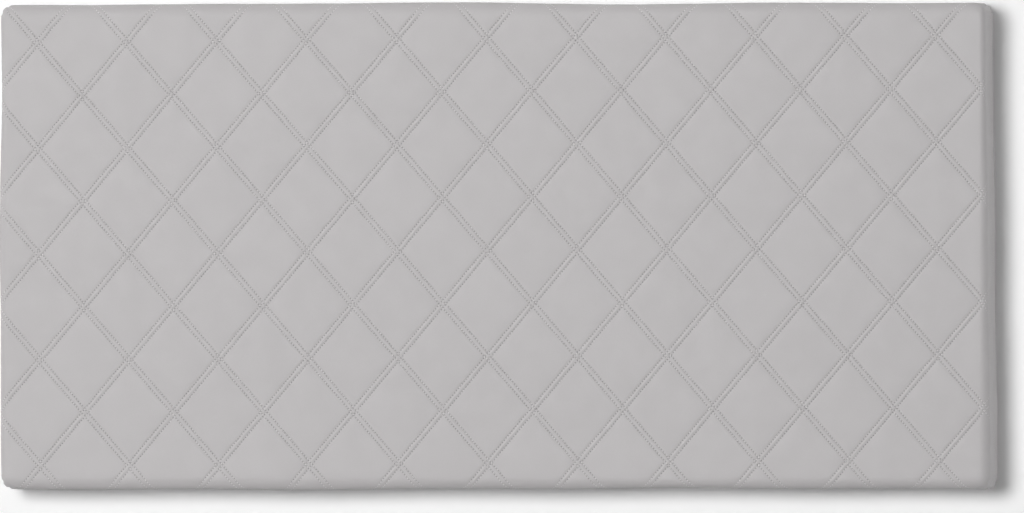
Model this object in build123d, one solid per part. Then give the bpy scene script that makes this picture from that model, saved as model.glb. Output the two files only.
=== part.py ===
from build123d import *

import os
from math import atan2, ceil, cos, hypot, radians, sin

# Wall-hung upholstered headboard. +Z is up, the front faces -Y and the wall is the plane y = 0.
# The origin is on the back of the middle wall bracket, midway between its screw slots. Millimetres.

# Panel
panel_width = 1200.0
panel_height = 580.0
panel_depth = 60.0
edge_radius = 9.0
corner_radius = 12.0

# Quilted sheet: leatherette on wadding, stitched in diamonds by twin-needle rows
quilt_thickness = 6.4
turned_in_thickness = 1.2
turned_in_width = 50.0
diamond_width = 109.3
diamond_height = 126.5
pattern_turn = 0.3
crossing_from_right = 5.3
crossing_from_top = 102.3
valley_half_width = 9.0
valley_depth = 2.4

# Soft layers and dust cover
wadding_thickness = 3.0
dust_cover_thickness = 0.4
dust_cover_margin = 12.0

# Timber frame and face board
batten_depth = 27.0
batten_width = 45.0
top_rail_width = 55.0
inner_stile_count = 3
board_thickness = 5.0
batten_round = 1.5
block_leg = 50.0
block_thickness = 20.0
block_tip = 6.0
lap_clearance = 0.1

# Staples
staple_crown = 10.0
staple_wire = 0.9
board_staple_leg = 18.0
back_staple_leg = 10.0
board_staple_pitch = 200.0
back_staple_pitch = 90.0
back_staple_inset = 18.0

# Hook brackets: one extrusion, used the right way up on the wall and upside down on the panel
bracket_length = 120.0
bracket_pitch = 400.0
bracket_count = 3
hook_wall = 3.0
hook_plate = 25.0
hook_height = 12.0
hook_clearance = 0.4
hook_corner = 2.0
panel_bracket_drop = 36.0
slot_width = 5.5
slot_length = 12.0
slot_pitch = 70.0

# Screws and bumpers
bracket_screw_diameter = 4.0
bracket_screw_head = 8.0
bracket_screw_length = 16.0
bracket_screw_pitch = 80.0
screw_clearance = 0.2
bumper_diameter = 24.0
bumper_tip_diameter = 20.0
bumper_inset = 70.0
bumper_screw_diameter = 3.5
bumper_screw_head = 7.0
bumper_head_gap = 1.0
bumper_head_height = 2.2
bumper_head_recess = 3.0
bumper_screw_length = 20.0

# How far a cut runs past the face that it opens
overcut = 1.0

# The panel's layers, from the wall to the front
stand_off = 2 * hook_wall + 3 * hook_clearance
back_y = -stand_off
turned_in_back = back_y - dust_cover_thickness
frame_back = turned_in_back - turned_in_thickness
board_back = frame_back - batten_depth
board_front = board_back - board_thickness
front_y = back_y - panel_depth
foam_front = front_y + quilt_thickness

# Heights: the hooks overlap by hook_height, which sets the panel brackets above the wall brackets
panel_bracket_z = hook_plate + 2 * hook_wall + hook_height
panel_top = panel_bracket_z + panel_bracket_drop
panel_bottom = panel_top - panel_height
panel_mid = (panel_top + panel_bottom) / 2

# The frame stands inside the quilted sheet and the wadding
soft_edge = quilt_thickness + wadding_thickness
frame_right = panel_width / 2 - soft_edge
frame_top = panel_top - soft_edge
frame_bottom = panel_bottom + soft_edge
top_rail_under = frame_top - top_rail_width
bottom_rail_over = frame_bottom + batten_width
lap_y = frame_back - batten_depth / 2

side_stile_x = frame_right - batten_width / 2
stile_gap = 2 * side_stile_x / (inner_stile_count + 1)
inner_stile_xs = [-side_stile_x + stile_gap * (i + 1) for i in range(inner_stile_count)]
stile_xs = [-side_stile_x, *inner_stile_xs, side_stile_x]
bracket_xs = [bracket_pitch * (i - (bracket_count - 1) / 2) for i in range(bracket_count)]
bumper_xs = [-panel_width / 2 + bumper_inset, panel_width / 2 - bumper_inset]
bumper_z = (frame_bottom + bottom_rail_over) / 2


def block(x0, x1, y0, y1, z0, z1):
    """A box between three pairs of limits."""
    centre = Pos((x0 + x1) / 2, (y0 + y1) / 2, (z0 + z1) / 2)
    return centre * Box(abs(x1 - x0), abs(y1 - y0), abs(z1 - z0))


def spread(length, pitch):
    """Even places, pitch apart or a little less, over a length about 0."""
    steps = max(1, ceil(length / pitch))
    return [length * (i / steps - 0.5) for i in range(steps + 1)]


def round_cornered_slab(inset, back, front):
    """The panel's outline drawn in by an inset, its four corners still round, between two depths."""
    half = panel_width / 2 - inset
    body = block(-half, half, back, front, panel_bottom + inset, panel_top - inset)
    return fillet(body.edges().filter_by(Axis.Y), max(corner_radius - inset, 1.0))


def seam_line(x, z, angle):
    """A V-shaped bar along one double row of stitching, in the front plane."""
    reach = hypot(panel_width, panel_height)
    section = Polyline(
        (-valley_half_width, 0),
        (0, valley_depth),
        (valley_half_width, 0),
        (0, -valley_depth),
        close=True,
    )
    across = (-sin(angle), 0, cos(angle))
    along = (cos(angle), 0, sin(angle))
    plane = Plane(origin=(x, front_y, z), x_dir=across, z_dir=along)
    return extrude(plane * make_face(section), reach, both=True)


def seam_lines():
    """Both families of seams, through a crossing near the right-hand edge."""
    slope = atan2(diamond_height, diamond_width)
    start_x = panel_width / 2 - crossing_from_right
    start_z = panel_top - crossing_from_top
    turn = radians(pattern_turn)
    count = ceil(panel_width / diamond_width + panel_height / diamond_height) + 1
    lines = []
    for lean in (slope, -slope):
        angle = lean + turn
        for i in range(-count, count + 1):
            x = start_x + i * diamond_width * cos(turn)
            z = start_z + i * diamond_width * sin(turn)
            # how far the middle of the panel is from this line
            away = abs((panel_mid - z) * cos(angle) + x * sin(angle))
            reach = panel_width / 2 * abs(sin(angle)) + panel_height / 2 * cos(angle)
            if away < reach - edge_radius:
                lines.append(seam_line(x, z, angle))
    return lines


def inside_of_cover():
    """The room inside the quilted sheet, which the wadding and the foam fill."""
    return round_cornered_slab(quilt_thickness, frame_back, foam_front)


def quilted_cover():
    """The quilted sheet: front, sides and the strip turned in over the back of the frame."""
    half = panel_width / 2
    shell = round_cornered_slab(0, turned_in_back, front_y)
    shell = fillet(shell.faces().sort_by(Axis.Y)[0].edges(), edge_radius)
    shell -= inside_of_cover()
    shell -= block(
        -half + turned_in_width,
        half - turned_in_width,
        turned_in_back + overcut,
        frame_back - overcut,
        panel_bottom + turned_in_width,
        panel_top - turned_in_width,
    )
    for seam in seam_lines():
        shell -= seam
    return shell


def edge_wadding():
    """A band of wadding round the frame, the board and the foam."""
    core = block(
        -frame_right, frame_right, frame_back + overcut, foam_front - overcut, frame_bottom, frame_top
    )
    return inside_of_cover() - core


def foam_pad():
    """The front foam, cut to the size of the face board."""
    return block(-frame_right, frame_right, board_front, foam_front, frame_bottom, frame_top)


def front_board():
    return block(-frame_right, frame_right, board_back, board_front, frame_bottom, frame_top)


def batten(x0, x1, z0, z1, long_axis):
    """A planed batten with its two long back edges eased."""
    body = block(x0, x1, frame_back, board_back, z0, z1)
    back_edges = body.faces().sort_by(Axis.Y)[-1].edges().filter_by(long_axis)
    return fillet(back_edges, batten_round)


def housings(z0, z1):
    """The half-deep notches in a rail's front, one for each stile's end."""
    half = batten_width / 2 + lap_clearance
    return [block(x - half, x + half, lap_y, board_back - overcut, z0, z1) for x in stile_xs]


def top_rail():
    rail = batten(-frame_right, frame_right, top_rail_under, frame_top, Axis.X)
    return rail - housings(top_rail_under - overcut, frame_top + overcut)


def bottom_rail():
    rail = batten(-frame_right, frame_right, frame_bottom, bottom_rail_over, Axis.X)
    return rail - housings(frame_bottom - overcut, bottom_rail_over + overcut)


def stile(x):
    """An upright whose ends are halved at the back, to lap into the rails' notches."""
    half = batten_width / 2
    body = batten(x - half, x + half, frame_bottom, frame_top, Axis.Z)
    top_lap = (top_rail_under - lap_clearance, frame_top + overcut)
    bottom_lap = (frame_bottom - overcut, bottom_rail_over + lap_clearance)
    for low, high in (top_lap, bottom_lap):
        body -= block(x - half - overcut, x + half + overcut, frame_back + overcut, lap_y, low, high)
    return body


def corner_block(side, end):
    """A glued triangular block in one inner corner: side is -1 left or 1 right, end is -1 bottom or 1 top."""
    outline = Polyline(
        (0, 0), (block_leg, 0), (block_leg, block_tip), (block_tip, block_leg), (0, block_leg), close=True
    )
    plane = Plane(
        origin=(
            side * (side_stile_x - batten_width / 2),
            board_back,
            top_rail_under if end > 0 else bottom_rail_over,
        ),
        x_dir=(-side, 0, 0),
        z_dir=(0, -side * end, 0),
    )
    face = plane * make_face(outline)
    return extrude(face, block_thickness, dir=(0, 1, 0))


def staple(leg):
    """A wire staple with its crown along X, its legs pointing along -Y and its crown's top at y = 0."""
    half = staple_crown / 2
    wire = staple_wire
    crown = block(-half, half, 0, -wire, -wire / 2, wire / 2)
    for side in (-1, 1):
        crown += block(side * half, side * (half - wire), 0, -leg, -wire / 2, wire / 2)
    return crown


def board_staples():
    """Staples through the face board into every batten, driven from the front."""
    driven = Location((0, board_front, 0), (0, 0, 180)) * staple(board_staple_leg)
    spots = [
        (x, z)
        for z in (frame_top - top_rail_width / 2, frame_bottom + batten_width / 2)
        for x in spread(2 * side_stile_x, board_staple_pitch)
    ]
    middle = (top_rail_under + bottom_rail_over) / 2
    clear_length = top_rail_under - bottom_rail_over
    spots += [
        (x, middle + z)
        for x in stile_xs
        for z in spread(clear_length - board_staple_pitch, board_staple_pitch)
    ]
    return Compound([Pos(x, 0, z) * driven for x, z in spots])


def back_staples():
    """Staples all round, through the dust cover and the turned-in sheet into the frame."""
    driven = Pos(0, back_y + staple_wire, 0) * staple(back_staple_leg)
    upright = Rot(0, 90, 0) * driven
    half_height = panel_height / 2 - back_staple_inset
    half_width = panel_width / 2 - back_staple_inset
    top_row = [
        Pos(x, 0, panel_mid + side * half_height) * driven
        for side in (-1, 1)
        for x in spread(2 * half_width - back_staple_pitch, back_staple_pitch)
    ]
    side_row = [
        Pos(side * half_width, 0, panel_mid + z) * upright
        for side in (-1, 1)
        for z in spread(2 * half_height - back_staple_pitch, back_staple_pitch)
    ]
    return Compound(top_row + side_row)


def dust_cover():
    """The thin sheet that closes the back of the panel."""
    half = panel_width / 2 - dust_cover_margin
    low = panel_bottom + dust_cover_margin
    high = panel_top - dust_cover_margin
    return block(-half, half, back_y, turned_in_back, low, high)


def hook_bracket():
    """A wall bracket: its plate against the wall, then a shelf and a lip that stands off it."""
    half = hook_plate / 2
    lip = 2 * (hook_wall + hook_clearance)
    crest = half + hook_wall + hook_height
    outline = Polyline(
        (0, -half),
        (-hook_wall, -half),
        (-hook_wall, half),
        (-lip, half),
        (-lip, crest),
        (hook_wall - lip, crest),
        (hook_wall - lip, half + hook_wall),
        (0, half + hook_wall),
        close=True,
    )
    plane = Plane(origin=(-bracket_length / 2, 0, 0), x_dir=(0, 1, 0), z_dir=(1, 0, 0))
    bracket = extrude(plane * make_face(outline), bracket_length)
    corners = bracket.edges().filter_by(Axis.Y).group_by(Axis.Z)
    return chamfer(corners[0] + corners[-1], hook_corner)


def wall_brackets():
    """The brackets on the wall, each with two slots for wall screws."""
    slot = extrude(Plane.XZ * SlotOverall(slot_length, slot_width), 2 * hook_wall, both=True)
    slots = [Pos(side * slot_pitch / 2, 0, 0) * slot for side in (-1, 1)]
    bracket = hook_bracket() - slots
    return Compound([Pos(x, 0, 0) * bracket for x in bracket_xs])


def panel_brackets():
    """The same brackets upside down on the panel's back, countersunk for their screws."""
    turned = Location((0, back_y, panel_bracket_z), (180, 0, 0)) * hook_bracket()
    bracket = turned - at_bracket_screws(countersunk_screw(screw_clearance))
    return Compound([Pos(x, 0, 0) * bracket for x in bracket_xs])


def countersunk_screw(slack):
    """A bracket's screw, or with some slack the room that it needs. Its head is flush at z = 0."""
    radius = bracket_screw_diameter / 2 + slack
    head = bracket_screw_head / 2 + 2 * slack
    neck = slack - (head - radius)
    tip = -bracket_screw_length
    outline = Polyline((0, slack), (head, slack), (radius, neck), (radius, tip), (0, tip), close=True)
    return revolve(Plane.XZ * make_face(outline), Axis.Z)


def at_bracket_screws(shape):
    """The shape at both screws of a panel bracket at x = 0, pointing into the panel."""
    y = back_y + hook_wall
    places = [(side * bracket_screw_pitch / 2, y, panel_bracket_z) for side in (-1, 1)]
    return [Location(place, (-90, 0, 0)) * shape for place in places]


def bracket_screws():
    pair = at_bracket_screws(countersunk_screw(0))
    return Compound([Pos(x, 0, 0) * screw for x in bracket_xs for screw in pair])


def bumper():
    """A rubber foot, its base at z = 0, with a step in its bore to sink the screw's head."""
    base, tip = bumper_diameter / 2, bumper_tip_diameter / 2
    bore = bumper_screw_diameter / 2 + screw_clearance
    recess = bumper_screw_head / 2 + bumper_head_gap
    shelf = stand_off - bumper_head_recess
    outline = Polyline(
        (bore, 0),
        (base, 0),
        (tip, stand_off),
        (recess, stand_off),
        (recess, shelf),
        (bore, shelf),
        close=True,
    )
    return revolve(Plane.XZ * make_face(outline), Axis.Z)


def bumper_screw():
    """A bumper's pan-head screw, its head seated on the step in the bumper's bore."""
    shelf = stand_off - bumper_head_recess
    shank, head = bumper_screw_diameter / 2, bumper_screw_head / 2
    crown = shelf + bumper_head_height
    end = shelf - bumper_screw_length
    outline = Polyline(
        (0, end), (shank, end), (shank, shelf), (head, shelf), (head * 0.75, crown), (0, crown), close=True
    )
    return revolve(Plane.XZ * make_face(outline), Axis.Z)


def at_bumpers(shape):
    """The shape at each bumper's place on the panel's back."""
    return Compound([Location((x, back_y, bumper_z), (-90, 0, 0)) * shape for x in bumper_xs])


nodes = {
    "wall_brackets": wall_brackets(),
    "panel_brackets": panel_brackets(),
    "bracket_screws": bracket_screws(),
    "wall_bumpers": at_bumpers(bumper()),
    "bumper_screws": at_bumpers(bumper_screw()),
    "top_rail": top_rail(),
    "bottom_rail": bottom_rail(),
    "left_stile": stile(-side_stile_x),
    "right_stile": stile(side_stile_x),
    "corner_block_top_left": corner_block(-1, 1),
    "corner_block_top_right": corner_block(1, 1),
    "corner_block_bottom_left": corner_block(-1, -1),
    "corner_block_bottom_right": corner_block(1, -1),
    "front_board": front_board(),
    "board_staples": board_staples(),
    "foam_pad": foam_pad(),
    "edge_wadding": edge_wadding(),
    "quilted_cover": quilted_cover(),
    "back_staples": back_staples(),
    "dust_cover": dust_cover(),
}
for number, x in enumerate(inner_stile_xs, 1):
    nodes[f"inner_stile_{number}"] = stile(x)

os.makedirs("parts", exist_ok=True)
for name, shape in nodes.items():
    export_step(shape, f"parts/{name}.step")
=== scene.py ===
from math import atan2, cos, hypot, pi, radians, sin

import bmesh
import bpy
import numpy as np
from bpy.props import FloatProperty, FloatVectorProperty, PointerProperty
from mathutils import Matrix, Vector


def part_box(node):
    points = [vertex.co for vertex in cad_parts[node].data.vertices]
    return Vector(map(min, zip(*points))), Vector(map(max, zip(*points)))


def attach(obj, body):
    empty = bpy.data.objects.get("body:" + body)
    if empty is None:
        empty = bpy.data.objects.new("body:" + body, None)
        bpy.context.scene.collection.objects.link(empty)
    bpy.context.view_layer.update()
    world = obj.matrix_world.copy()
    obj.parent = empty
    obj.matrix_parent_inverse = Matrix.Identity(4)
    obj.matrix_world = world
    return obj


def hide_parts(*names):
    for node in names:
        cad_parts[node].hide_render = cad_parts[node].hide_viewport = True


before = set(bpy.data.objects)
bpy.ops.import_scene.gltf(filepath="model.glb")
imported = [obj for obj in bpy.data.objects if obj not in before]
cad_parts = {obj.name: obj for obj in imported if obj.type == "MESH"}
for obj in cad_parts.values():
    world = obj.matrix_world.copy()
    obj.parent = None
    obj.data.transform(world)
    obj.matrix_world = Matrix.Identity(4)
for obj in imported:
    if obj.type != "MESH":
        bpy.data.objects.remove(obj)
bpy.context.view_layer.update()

bl_info = {
    "name": "Quilted headboard",
    "version": (1, 0, 0),
    "blender": (4, 5, 0),
    "location": "3D View > Sidebar > Headboard",
    "description": "Dresses a wall-hung, diamond-quilted headboard and sets its stage",
    "category": "Object",
}

# The panel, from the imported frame. Metres: +Z is up, the front faces -Y and the wall is the plane y = 0.
cover_low, cover_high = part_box("quilted_cover")
HALF_WIDTH = cover_high.x
HALF_HEIGHT = (cover_high.z - cover_low.z) / 2
MIDDLE_Z = (cover_high.z + cover_low.z) / 2
FRONT_Y = cover_low.y
REAR_Y = cover_high.y
SIDE_DEPTH = REAR_Y - FRONT_Y
LINER_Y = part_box("foam_pad")[0].y
FRAME_BACK_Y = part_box("top_rail")[1].y
LINER_HALF_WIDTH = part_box("edge_wadding")[1].x
STILES = [f"inner_stile_{number}" for number in (1, 2, 3)]

STAGE_SIZE = 40.0
MM = 0.001


def length(name, description, default, low=0.0, high=2.0):
    """A size that a user may change, in metres."""
    return FloatProperty(
        name=name, description=description, default=default, min=low, max=high, unit="LENGTH", precision=4
    )


def colour(name, description, default):
    """A finish's main colour, as linear red, green and blue."""
    return FloatVectorProperty(
        name=name, description=description, default=default, size=3, subtype="COLOR", min=0.0, max=1.0
    )


class QuiltSettings(bpy.types.PropertyGroup):
    """The diamond pattern and the twin-needle seams that draw it."""

    diamond_width: length("Diamond width", "Across one diamond, from corner to corner", 0.1093)
    diamond_height: length("Diamond height", "Up one diamond, from corner to corner", 0.1265)
    turn: FloatProperty(name="Pattern turn", description="How far the rows run out of level",
                        default=radians(0.3), subtype="ANGLE")
    from_right: length("Crossing from right", "From the right-hand edge to a crossing of seams", 0.0053)
    from_top: length("Crossing from top", "From the top edge to that crossing", 0.1023)
    needle_gap: length("Needle gap", "Between the two rows of one seam", 0.006)
    stitch: length("Stitch length", "From one needle hole to the next", 0.0036)
    thread: length("Thread width", "Across one stitch of thread", 0.0009)
    valley: length("Valley depth", "How far a seam pulls the padding in", 0.00048)
    groove: length("Groove depth", "How much deeper each row of stitches sinks", 0.00022)
    puff: length("Puff width", "From a row of stitches to the flat of a diamond", 0.0034)
    crown: length("Diamond crown", "How far a diamond's middle swells", 0.0007)


class CoverSettings(bpy.types.PropertyGroup):
    """How the sheet goes round the panel's edges."""

    corner: length("Corner reach", "From the panel's edge to where a corner starts to turn", 0.018)
    long_edge: length("Long edge roll", "Width of the soft roll along top and bottom, on the face", 0.0155)
    long_edge_deep: length("Long edge roll depth", "Depth of that roll, on the top and bottom", 0.011)
    short_edge: length("Short edge roll", "Width and depth of the tighter roll at the two sides", 0.0085)
    back_edge: length("Back edge roll", "Radius where the sheet turns in over the frame", 0.003)
    turned_in: length("Turned in", "Strip modelled behind the frame, under the dust cover", 0.0135)
    waviness: length("Edge waviness", "How far the edges wander from straight", 0.0010)
    lean: length("Side lean", "How far the right-hand side stands out at its foot", 0.0028)
    drift: length("Pattern drift", "How far the seams wander from their ruled lines", 0.0012)
    pleat: length("Pleat depth", "Depth of the small pleats at the corners", 0.0012)


class ColourSettings(bpy.types.PropertyGroup):
    """Main colours of the finishes."""

    leatherette: colour("Leatherette", "Coated cover sheet", (0.500, 0.484, 0.488))
    thread: colour("Thread", "Seam thread", (0.780, 0.760, 0.765))
    dust_cloth: colour("Dust cloth", "Non-woven sheet on the back", (0.030, 0.030, 0.032))
    foam: colour("Foam", "Front foam", (0.78, 0.74, 0.60))
    wadding: colour("Wadding", "Polyester wadding", (0.82, 0.82, 0.80))
    pine: colour("Pine", "Light wood between the rings", (0.66, 0.44, 0.24))
    pine_dark: colour("Pine rings", "Dark wood of the rings", (0.42, 0.22, 0.09))
    plywood: colour("Plywood", "Birch face veneer", (0.62, 0.46, 0.29))
    aluminium: colour("Aluminium", "Bracket metal", (0.76, 0.77, 0.78))
    zinc: colour("Zinc", "Plated steel", (0.62, 0.63, 0.66))
    rubber: colour("Rubber", "Wall bumpers", (0.035, 0.035, 0.037))


class StageSettings(bpy.types.PropertyGroup):
    """Camera, lamps, wall and floor."""

    yaw: FloatProperty(name="View from right", description="Camera's angle to the right of straight ahead",
                       default=radians(11.5), subtype="ANGLE")
    roll: FloatProperty(name="Roll", description="Camera's turn about its own view", default=radians(-0.07),
                        subtype="ANGLE")
    distance: length("Camera distance", "From the camera to the panel", 29.18, 0.0, 60.0)
    lens: FloatProperty(name="Lens", description="Focal length", default=860.0, unit="CAMERA")
    aim_right: length("Aim right", "Picture's middle, to the right of the panel's middle", 0.019)
    aim_down: length("Aim down", "Picture's middle, below the panel's middle", 0.0119)
    key: FloatProperty(name="Key lamp", description="Power of the soft lamp at upper left", default=590.0,
                       subtype="POWER")
    side: FloatProperty(name="Side lamp", description="Power of the lamp that rakes the face from the left",
                        default=250.0, subtype="POWER")
    strip: FloatProperty(name="Strip lamp", description="Power of the narrow lamp that grazes the right side",
                         default=4.6, subtype="POWER")
    rear: FloatProperty(name="Rear lamps", description="Power of each lamp behind the wall", default=3.0,
                        subtype="POWER")
    sky: FloatProperty(name="Sky", description="Strength of the even light from all round", default=0.21)
    wall: colour("Wall", "Backdrop and floor", (0.98, 0.98, 0.98))
    floor_drop: length("Floor below panel", "From the panel's lower edge to the floor", 0.55)


def settings(group):
    """One of this add-on's groups of settings, in the scene."""
    return getattr(bpy.context.scene, group)


# --- The flat sheet and its way round the panel ---


def seam_families():
    """(along, across) unit vectors of the rising and the falling seams, on the flat sheet."""
    quilt = settings("headboard_quilt")
    slope = atan2(quilt.diamond_height, quilt.diamond_width)
    turned = [lean + quilt.turn for lean in (slope, -slope)]
    return [(np.array((cos(a), sin(a))), np.array((-sin(a), cos(a)))) for a in turned]


def seam_spacing():
    """From one seam to the next of its family."""
    quilt = settings("headboard_quilt")
    return quilt.diamond_width * quilt.diamond_height / hypot(quilt.diamond_width, quilt.diamond_height)


def pattern_origin():
    """The crossing that the pattern is set out from, on the flat sheet."""
    quilt = settings("headboard_quilt")
    return np.array((HALF_WIDTH - quilt.from_right, HALF_HEIGHT - quilt.from_top))


def smooth(x):
    """Eases 0 to 1."""
    x = np.clip(x, 0.0, 1.0)
    return x * x * (3.0 - 2.0 * x)


def off_seam(flat, family):
    """Distance of flat points from the nearest seam of a family."""
    across = seam_families()[family][1]
    v = (flat - pattern_origin()) @ across
    spacing = seam_spacing()
    return np.abs(v - spacing * np.round(v / spacing))


def quilt_depth(flat):
    """How far the quilting pulls flat points in."""
    quilt = settings("headboard_quilt")
    half_gap = quilt.needle_gap / 2
    valleys, grooves, swells = [], [], []
    for family in (0, 1):
        d = off_seam(flat, family)
        beyond = np.maximum(d - half_gap, 0.0) / quilt.puff
        ridge = 1.2 * np.maximum(1.0 - d / half_gap, 0.0) ** 1.2
        valleys.append(quilt.valley * (np.exp(-(beyond**1.35)) - ridge))
        grooves.append(quilt.groove * np.exp(-(((d - half_gap) / (0.85 * MM)) ** 2)))
        swells.append(np.sin(pi / 2 * np.clip(2 * d / seam_spacing(), 0, 1)))
    valley = np.maximum(*valleys) + 0.35 * np.minimum(*valleys)
    return valley + np.maximum(*grooves) - quilt.crown * swells[0] * swells[1]


def edge_wander(flat, out_x, out_z):
    """How far the panel's sides stand proud of straight, at flat points whose side faces (out_x, out_z)."""
    cover = settings("headboard_cover")
    s, t = flat[:, 0], flat[:, 1]
    top = np.sin(5.0 * s + 2.7) + 0.65 * np.sin(12.4 * s + 2.8) + 0.5 * np.sin(18.7 * s + 1.9) - 0.3
    bottom = np.sin(5.0 * s + 3.3) + 0.65 * np.sin(21.3 * s) - 0.7
    left = 1.15 * np.sin(10.3 * t + 2.0) + 0.75 * np.sin(23.1 * t + 0.8) + 0.7
    right = 0.4 * np.sin(26.0 * t + 0.4)
    wave = out_z**2 * np.where(out_z > 0, top, bottom) + out_x**2 * np.where(out_x > 0, right, left)
    lean = np.where(out_x > 0, -out_x * cover.lean * t / HALF_HEIGHT, 0.0)
    return cover.waviness * wave + lean


def drifted(flat):
    """Flat points moved a little, as a sheet that isn't pulled quite straight."""
    cover = settings("headboard_cover")
    s, t = flat[:, 0], flat[:, 1]
    moved = flat.copy()
    moved[:, 0] += cover.drift * np.cos(2 * pi * s / 1.0) * (0.55 + 0.45 * t / HALF_HEIGHT)
    moved[:, 1] += 0.6 * cover.drift * np.sin(5.2 * s + 3.1 * t + 0.8)
    return moved


def roll_sizes(upright):
    """Width, depth, start and length of the roll from face to side, and the straight part of the side beyond.

    upright is 1 at the top and bottom, 0 at the two sides and between them round a corner.
    """
    cover = settings("headboard_cover")
    wide = cover.short_edge + (cover.long_edge - cover.short_edge) * upright
    deep = cover.short_edge + (cover.long_edge_deep - cover.short_edge) * upright
    roll = pi / 2 * np.sqrt((wide**2 + deep**2) / 2)
    return wide, deep, cover.corner - wide, roll, SIDE_DEPTH - deep - cover.back_edge


def round_edge(flat):
    """Which way each flat point leaves the panel's core, and how far past it."""
    power = 2.7
    core = np.array((HALF_WIDTH, HALF_HEIGHT)) - settings("headboard_cover").corner
    over = np.maximum(np.abs(flat) - core, 0.0)
    r = (over[:, 0] ** power + over[:, 1] ** power) ** (1 / power)
    way = over / np.maximum(r, 1e-9)[:, None] * np.sign(flat)
    facing = np.abs(way) ** (power - 1) * np.sign(flat)
    facing /= np.maximum(np.linalg.norm(facing, axis=1), 1e-9)[:, None]
    return core, over, r, way, facing


def tautness(flat):
    """0 on the face, rising to 1 over the panel's edges, where the pulled sheet flattens its quilting."""
    _, _, r, _, facing = round_edge(drifted(flat))
    start, roll = roll_sizes(facing[:, 1] ** 2)[2:4]
    soon = np.where((facing[:, 1] > 0) & (facing[:, 1] ** 2 > 0.5), 0.50, 0.75)
    return smooth((r - start) / (soon * roll))


def wrapped(flat, lift=0.0, quilted=None):
    """Where points of the flat sheet lie on the panel, raised by lift.

    quilted are other flat points whose depth they share, as a stitch shares its row's.
    """
    cover = settings("headboard_cover")
    depth = quilt_depth(flat if quilted is None else quilted)
    taut = tautness(flat)
    flat = drifted(flat)
    core, over, r, way, facing = round_edge(flat)
    wide, deep, start, roll, straight = roll_sizes(facing[:, 1] ** 2)
    angle = np.clip((r - start) / roll, 0.0, 1.0) * pi / 2
    past = np.maximum(r - start - roll, 0.0)
    turn = np.clip((past - straight) / (pi / 2 * cover.back_edge), 0.0, 1.0) * pi / 2
    inward = np.maximum(past - straight - pi / 2 * cover.back_edge, 0.0)

    out = np.minimum(r, start) + wide * np.sin(angle) - cover.back_edge * (1 - np.cos(turn)) - inward
    back = deep * (1 - np.cos(angle)) + np.minimum(past, straight) + cover.back_edge * np.sin(turn)
    normal_out = np.where(turn > 0, np.cos(turn), deep * np.sin(angle))
    normal_back = np.where(turn > 0, np.sin(turn), -wide * np.cos(angle))
    size = np.hypot(normal_out, normal_back)
    normal_out, normal_back = normal_out / size, normal_back / size

    sided = smooth((r - start) / roll)
    on_panel = np.clip(1 - inward / cover.corner, 0, 1)
    cornered = smooth(np.minimum(over[:, 0], over[:, 1]) / (0.5 * cover.corner)) * sided
    rise = lift - depth * (1 - 0.75 * taut) * (1 - 0.85 * cornered)
    wander = edge_wander(flat, facing[:, 0], facing[:, 1]) * sided * on_panel
    round_corner = np.arctan2(over[:, 1], over[:, 0])
    folds = sum(np.exp(-(((round_corner - fold) / 0.10) ** 2)) for fold in (0.45, 1.02))
    rise = rise - cover.pleat * folds * cornered * on_panel

    shift = (rise * normal_out + wander)[:, None] * facing
    past_core = (r > 0).astype(float)[:, None]
    placed = np.empty((len(flat), 3))
    placed[:, [0, 2]] = np.clip(flat, -core, core) + past_core * (way * out[:, None] + shift)
    placed[:, 2] += MIDDLE_Z
    placed[:, 1] = FRONT_Y + back + rise * normal_back
    return placed


def sheet_reach():
    """How far the sheet runs past the core of the panel before its border under the dust cover."""
    cover = settings("headboard_cover")
    start, roll, straight = roll_sizes(1.0)[2:]
    return start + roll + straight + pi / 2 * cover.back_edge + cover.turned_in


# --- Meshes ---


def piece(name, bm, material, body, shade=True):
    """Makes an object of a bmesh that rides on a body and takes its finish from a material slot."""
    mesh = bpy.data.meshes.new(name)
    bm.to_mesh(mesh)
    bm.free()
    mesh.polygons.foreach_set("use_smooth", [shade] * len(mesh.polygons))
    mesh.materials.append(material)
    made = bpy.data.objects.new(name, mesh)
    bpy.context.scene.collection.objects.link(made)
    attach(made, body)
    return made


def coordinates(mesh):
    """A mesh's points as an array."""
    flat = np.empty(len(mesh.vertices) * 3, np.float32)
    mesh.vertices.foreach_get("co", flat)
    return flat.reshape(-1, 3).astype(float)


def place(mesh, points):
    """Moves a mesh's points."""
    mesh.vertices.foreach_set("co", points.astype(np.float32).ravel())
    mesh.update()


def merged_copy(node):
    """A CAD node's mesh, its loose triangles joined up into flat faces."""
    bm = bmesh.new()
    bm.from_mesh(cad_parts[node].data)
    bmesh.ops.remove_doubles(bm, verts=bm.verts[:], dist=0.002 * MM)
    bmesh.ops.dissolve_limit(bm, angle_limit=radians(1), verts=bm.verts[:], edges=bm.edges[:])
    return bm


def ease_edges(bm, width, sharper_than=radians(30), segments=2):
    """Rounds every edge that is sharper than an angle."""
    sharp = [e for e in bm.edges if e.is_manifold and e.calc_face_angle(0) > sharper_than]
    bmesh.ops.bevel(
        bm, geom=sharp, offset=width, offset_type="OFFSET", segments=segments, profile=0.5, affect="EDGES",
        clamp_overlap=True, material=-1,
    )


# Mesh lines beside a seam, in half needle gaps from its middle: close together over the grooves
SEAM_LINES = (0.0, 0.34, 0.62, 0.84, 1.0, 1.17, 1.42, 1.85, 2.5, 3.6, 5.6, 9.0)


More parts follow.
